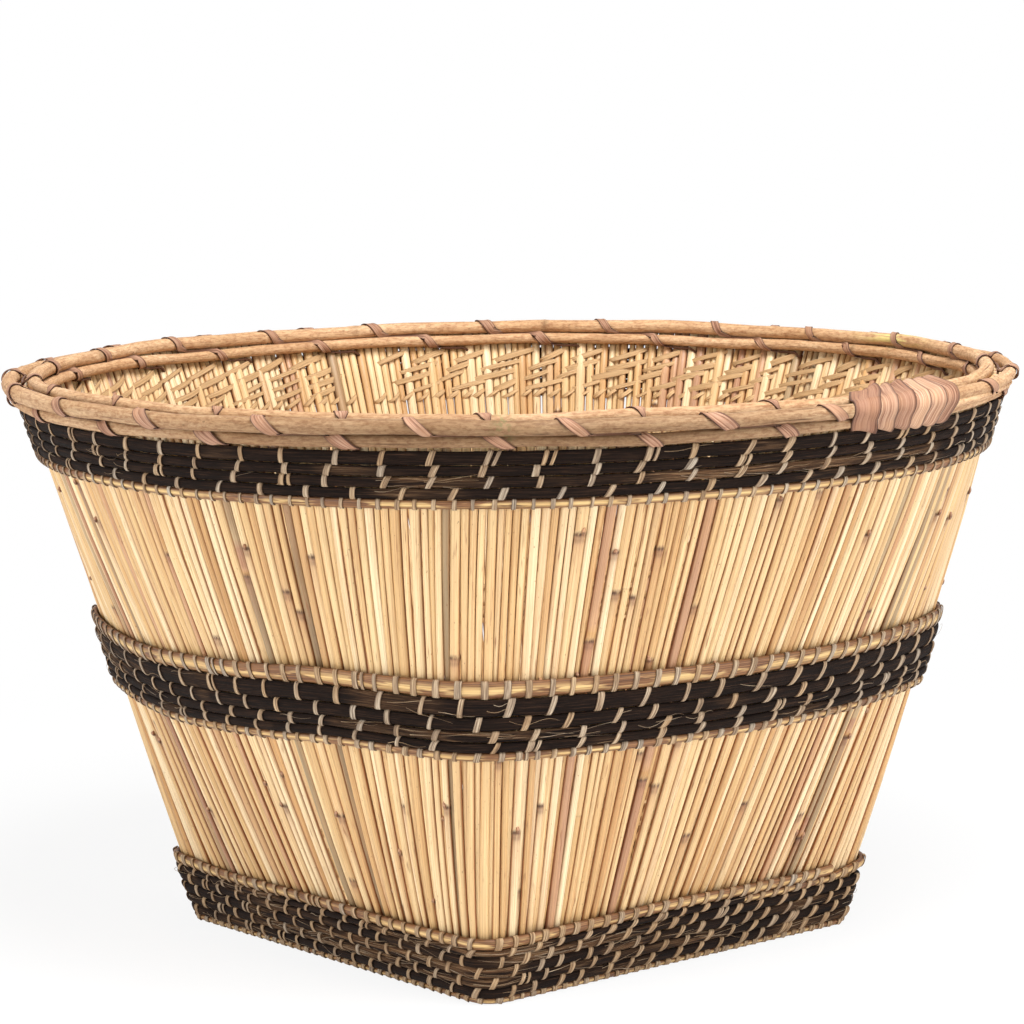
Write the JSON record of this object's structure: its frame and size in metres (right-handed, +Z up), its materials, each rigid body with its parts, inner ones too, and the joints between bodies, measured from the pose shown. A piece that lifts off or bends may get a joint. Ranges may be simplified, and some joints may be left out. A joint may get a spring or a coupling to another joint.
{
  "type": "basket",
  "caption": "Open reed basket with a square base and a round rim: straight upright reeds, dark fibre bands edged with cane, and bark-covered hoops lashed round the mouth.",
  "frame": {"origin": "centre of the square base, on the ground plane", "axes": "+Z up along the rim's axis, +X and +Y along the base's sides; the splice wrap of the rim is near -Y"},
  "size_m": [0.6053, 0.6057, 0.3416],
  "materials": {
    "reeds": "dry straw culms, satin",
    "floor_reeds": "dry straw culms, satin",
    "hoops": "smooth dry bark, matte",
    "bark_strip": "split bark, matte",
    "dark_rods": "dark fibre, matte",
    "canes": "split cane, satin"
  },
  "bodies": {
    "root": {"reed_panel_01": "reeds", "reed_panel_02": "reeds", "reed_panel_03": "reeds", "reed_panel_04": "reeds", "reed_panel_05": "reeds", "reed_panel_06": "reeds", "reed_panel_07": "reeds", "reed_panel_08": "reeds", "reed_panel_09": "reeds", "reed_panel_10": "reeds", "reed_panel_11": "reeds", "reed_panel_12": "reeds", "reed_panel_13": "reeds", "reed_panel_14": "reeds", "reed_panel_15": "reeds", "reed_panel_16": "reeds", "reed_panel_17": "reeds", "reed_panel_18": "reeds", "reed_panel_19": "reeds", "reed_panel_20": "reeds", "reed_panel_21": "reeds", "reed_panel_22": "reeds", "reed_panel_23": "reeds", "reed_panel_24": "reeds", "rim_hoop_outer_upper": "hoops", "rim_hoop_outer_lower": "hoops", "rim_hoop_inner_upper": "hoops", "rim_hoop_inner_lower": "hoops", "rim_lashing": "bark_strip", "rim_splice_wrap": "bark_strip", "top_band_rod_1": "dark_rods", "top_band_rod_2": "dark_rods", "top_band_rod_3": "dark_rods", "top_band_rod_4": "dark_rods", "middle_band_rod_1": "dark_rods", "middle_band_rod_2": "dark_rods", "middle_band_rod_3": "dark_rods", "middle_band_rod_4": "dark_rods", "base_band_rod_1": "dark_rods", "base_band_rod_2": "dark_rods", "base_band_rod_3": "dark_rods", "base_band_rod_4": "dark_rods", "base_band_rod_short": "dark_rods", "top_band_cane_lower": "canes", "middle_band_cane_upper": "canes", "middle_band_cane_lower": "canes", "base_band_cane_upper": "canes", "base_band_cane_lower": "canes", "floor_mat": "floor_reeds", "floor_batten_1": "canes", "floor_batten_2": "canes", "floor_batten_3": "canes"}
  },
  "joints": []
}
